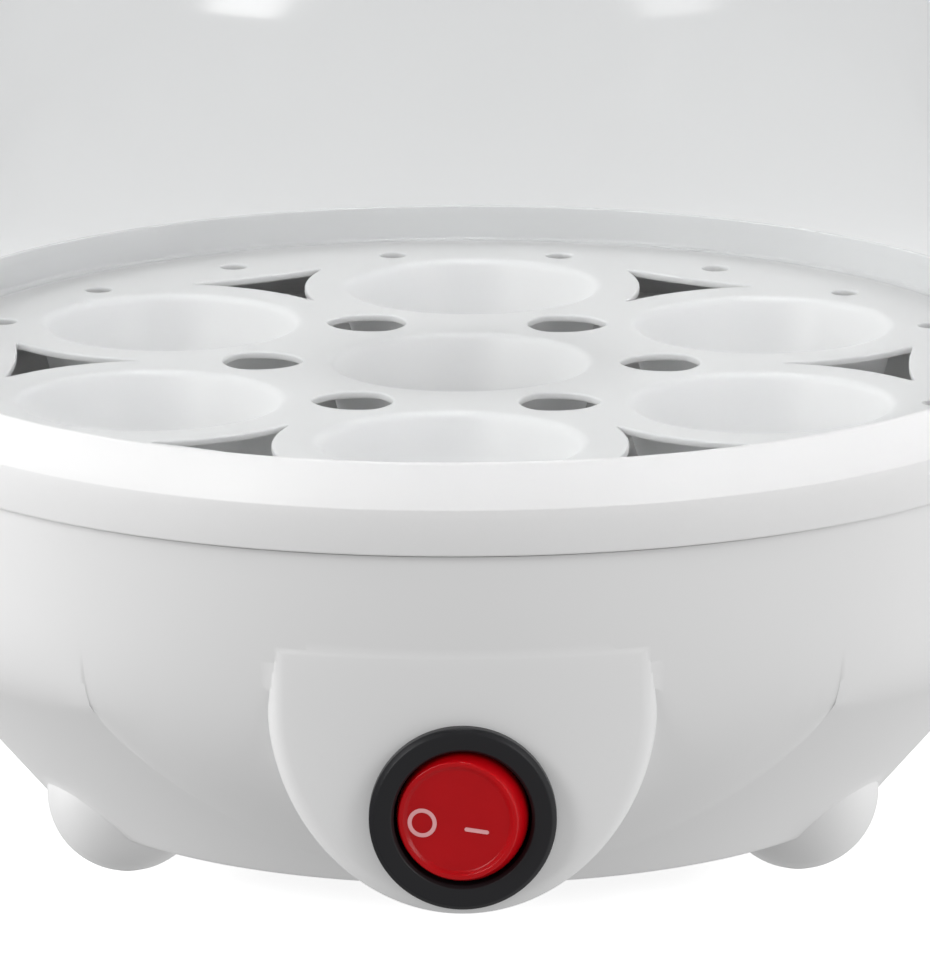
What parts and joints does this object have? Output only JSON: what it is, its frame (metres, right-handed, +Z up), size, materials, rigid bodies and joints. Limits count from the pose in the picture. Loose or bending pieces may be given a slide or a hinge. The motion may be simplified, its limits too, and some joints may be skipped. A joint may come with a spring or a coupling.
{
  "type": "egg cooker",
  "caption": "Round electric steam egg cooker: clear domed lid, lift-out egg tray, steel water pan and a white base with a round rocker switch.",
  "frame": {"origin": "on the table under the centre of the cooker", "axes": "+Z up, -Y towards the switch nose, +X to the right seen from the front"},
  "size_m": [0.16, 0.1636, 0.172],
  "materials": {
    "white_housing": "white polypropylene, satin moulded",
    "white_tray": "white polypropylene, satin moulded, slightly translucent",
    "clear_lid": "clear polystyrene, polished",
    "black_plastic": "black moulded nylon",
    "red_rocker": "translucent red polycarbonate, polished",
    "rubber_pad": "matt pale rubber",
    "silicone": "matt silicone",
    "lead_sleeve": "glass-braid heat sleeve",
    "pan_steel": "spun stainless steel",
    "aluminium_plate": "mill-finish sheet",
    "brass_blade": "stamped brass",
    "phenolic_body": "moulded phenolic",
    "nylon_block": "natural nylon",
    "zinc_steel": "zinc plated steel"
  },
  "bodies": {
    "base": {"ball_foot_1": "white_housing", "ball_foot_2": "white_housing", "ball_foot_3": "white_housing", "base_housing": "white_housing", "bottom_cover": "black_plastic", "cord_gland": "black_plastic", "cover_screw_1": "zinc_steel", "cover_screw_2": "zinc_steel", "cover_screw_3": "zinc_steel", "foot_pad_1": "rubber_pad", "foot_pad_2": "rubber_pad", "foot_pad_3": "rubber_pad", "foot_screw_1": "zinc_steel", "foot_screw_2": "zinc_steel", "foot_screw_3": "zinc_steel", "heat_shield": "aluminium_plate", "heat_spreader": "aluminium_plate", "heating_element": "zinc_steel", "heating_pan": "pan_steel", "lead_element": "lead_sleeve", "lead_fuse_in": "lead_sleeve", "lead_fuse_out": "lead_sleeve", "lead_lamp": "lead_sleeve", "lead_live": "lead_sleeve", "lead_switched": "lead_sleeve", "pan_gasket": "silicone", "pan_stud_1": "pan_steel", "pan_stud_2": "pan_steel", "pan_stud_3": "pan_steel", "shield_screw_1": "zinc_steel", "shield_screw_2": "zinc_steel", "shield_screw_3": "zinc_steel", "stud_nut_1": "zinc_steel", "stud_nut_2": "zinc_steel", "stud_nut_3": "zinc_steel", "switch_blade_lower": "brass_blade", "switch_blade_middle": "brass_blade", "switch_blade_upper": "brass_blade", "switch_body": "black_plastic", "terminal_block": "nylon_block", "thermal_fuse": "lead_sleeve", "thermostat_blade_left": "brass_blade", "thermostat_blade_right": "brass_blade", "thermostat_body": "phenolic_body", "thermostat_flange": "zinc_steel"},
    "tray": {"egg_tray": "white_tray"},
    "lid": {"lid_dome": "clear_lid", "lid_knob": "white_housing", "knob_screw": "zinc_steel", "knob_washer": "silicone"},
    "rocker": {"switch_rocker": "red_rocker"}
  },
  "joints": [
    {"name": "tray_lift", "type": "slide", "parent": "base", "child": "tray", "axis": [0, 0, 1], "range_m": [0, 0.06]},
    {"name": "lid_lift", "type": "slide", "parent": "tray", "child": "lid", "axis": [0, 0, 1], "range_m": [0, 0.12]},
    {"name": "rocker_tilt", "type": "hinge", "parent": "base", "child": "rocker", "pos_m": [0, -0.077, 0.0215], "axis": [0.1045, 0, 0.9945], "range_deg": [0, 20]}
  ]
}
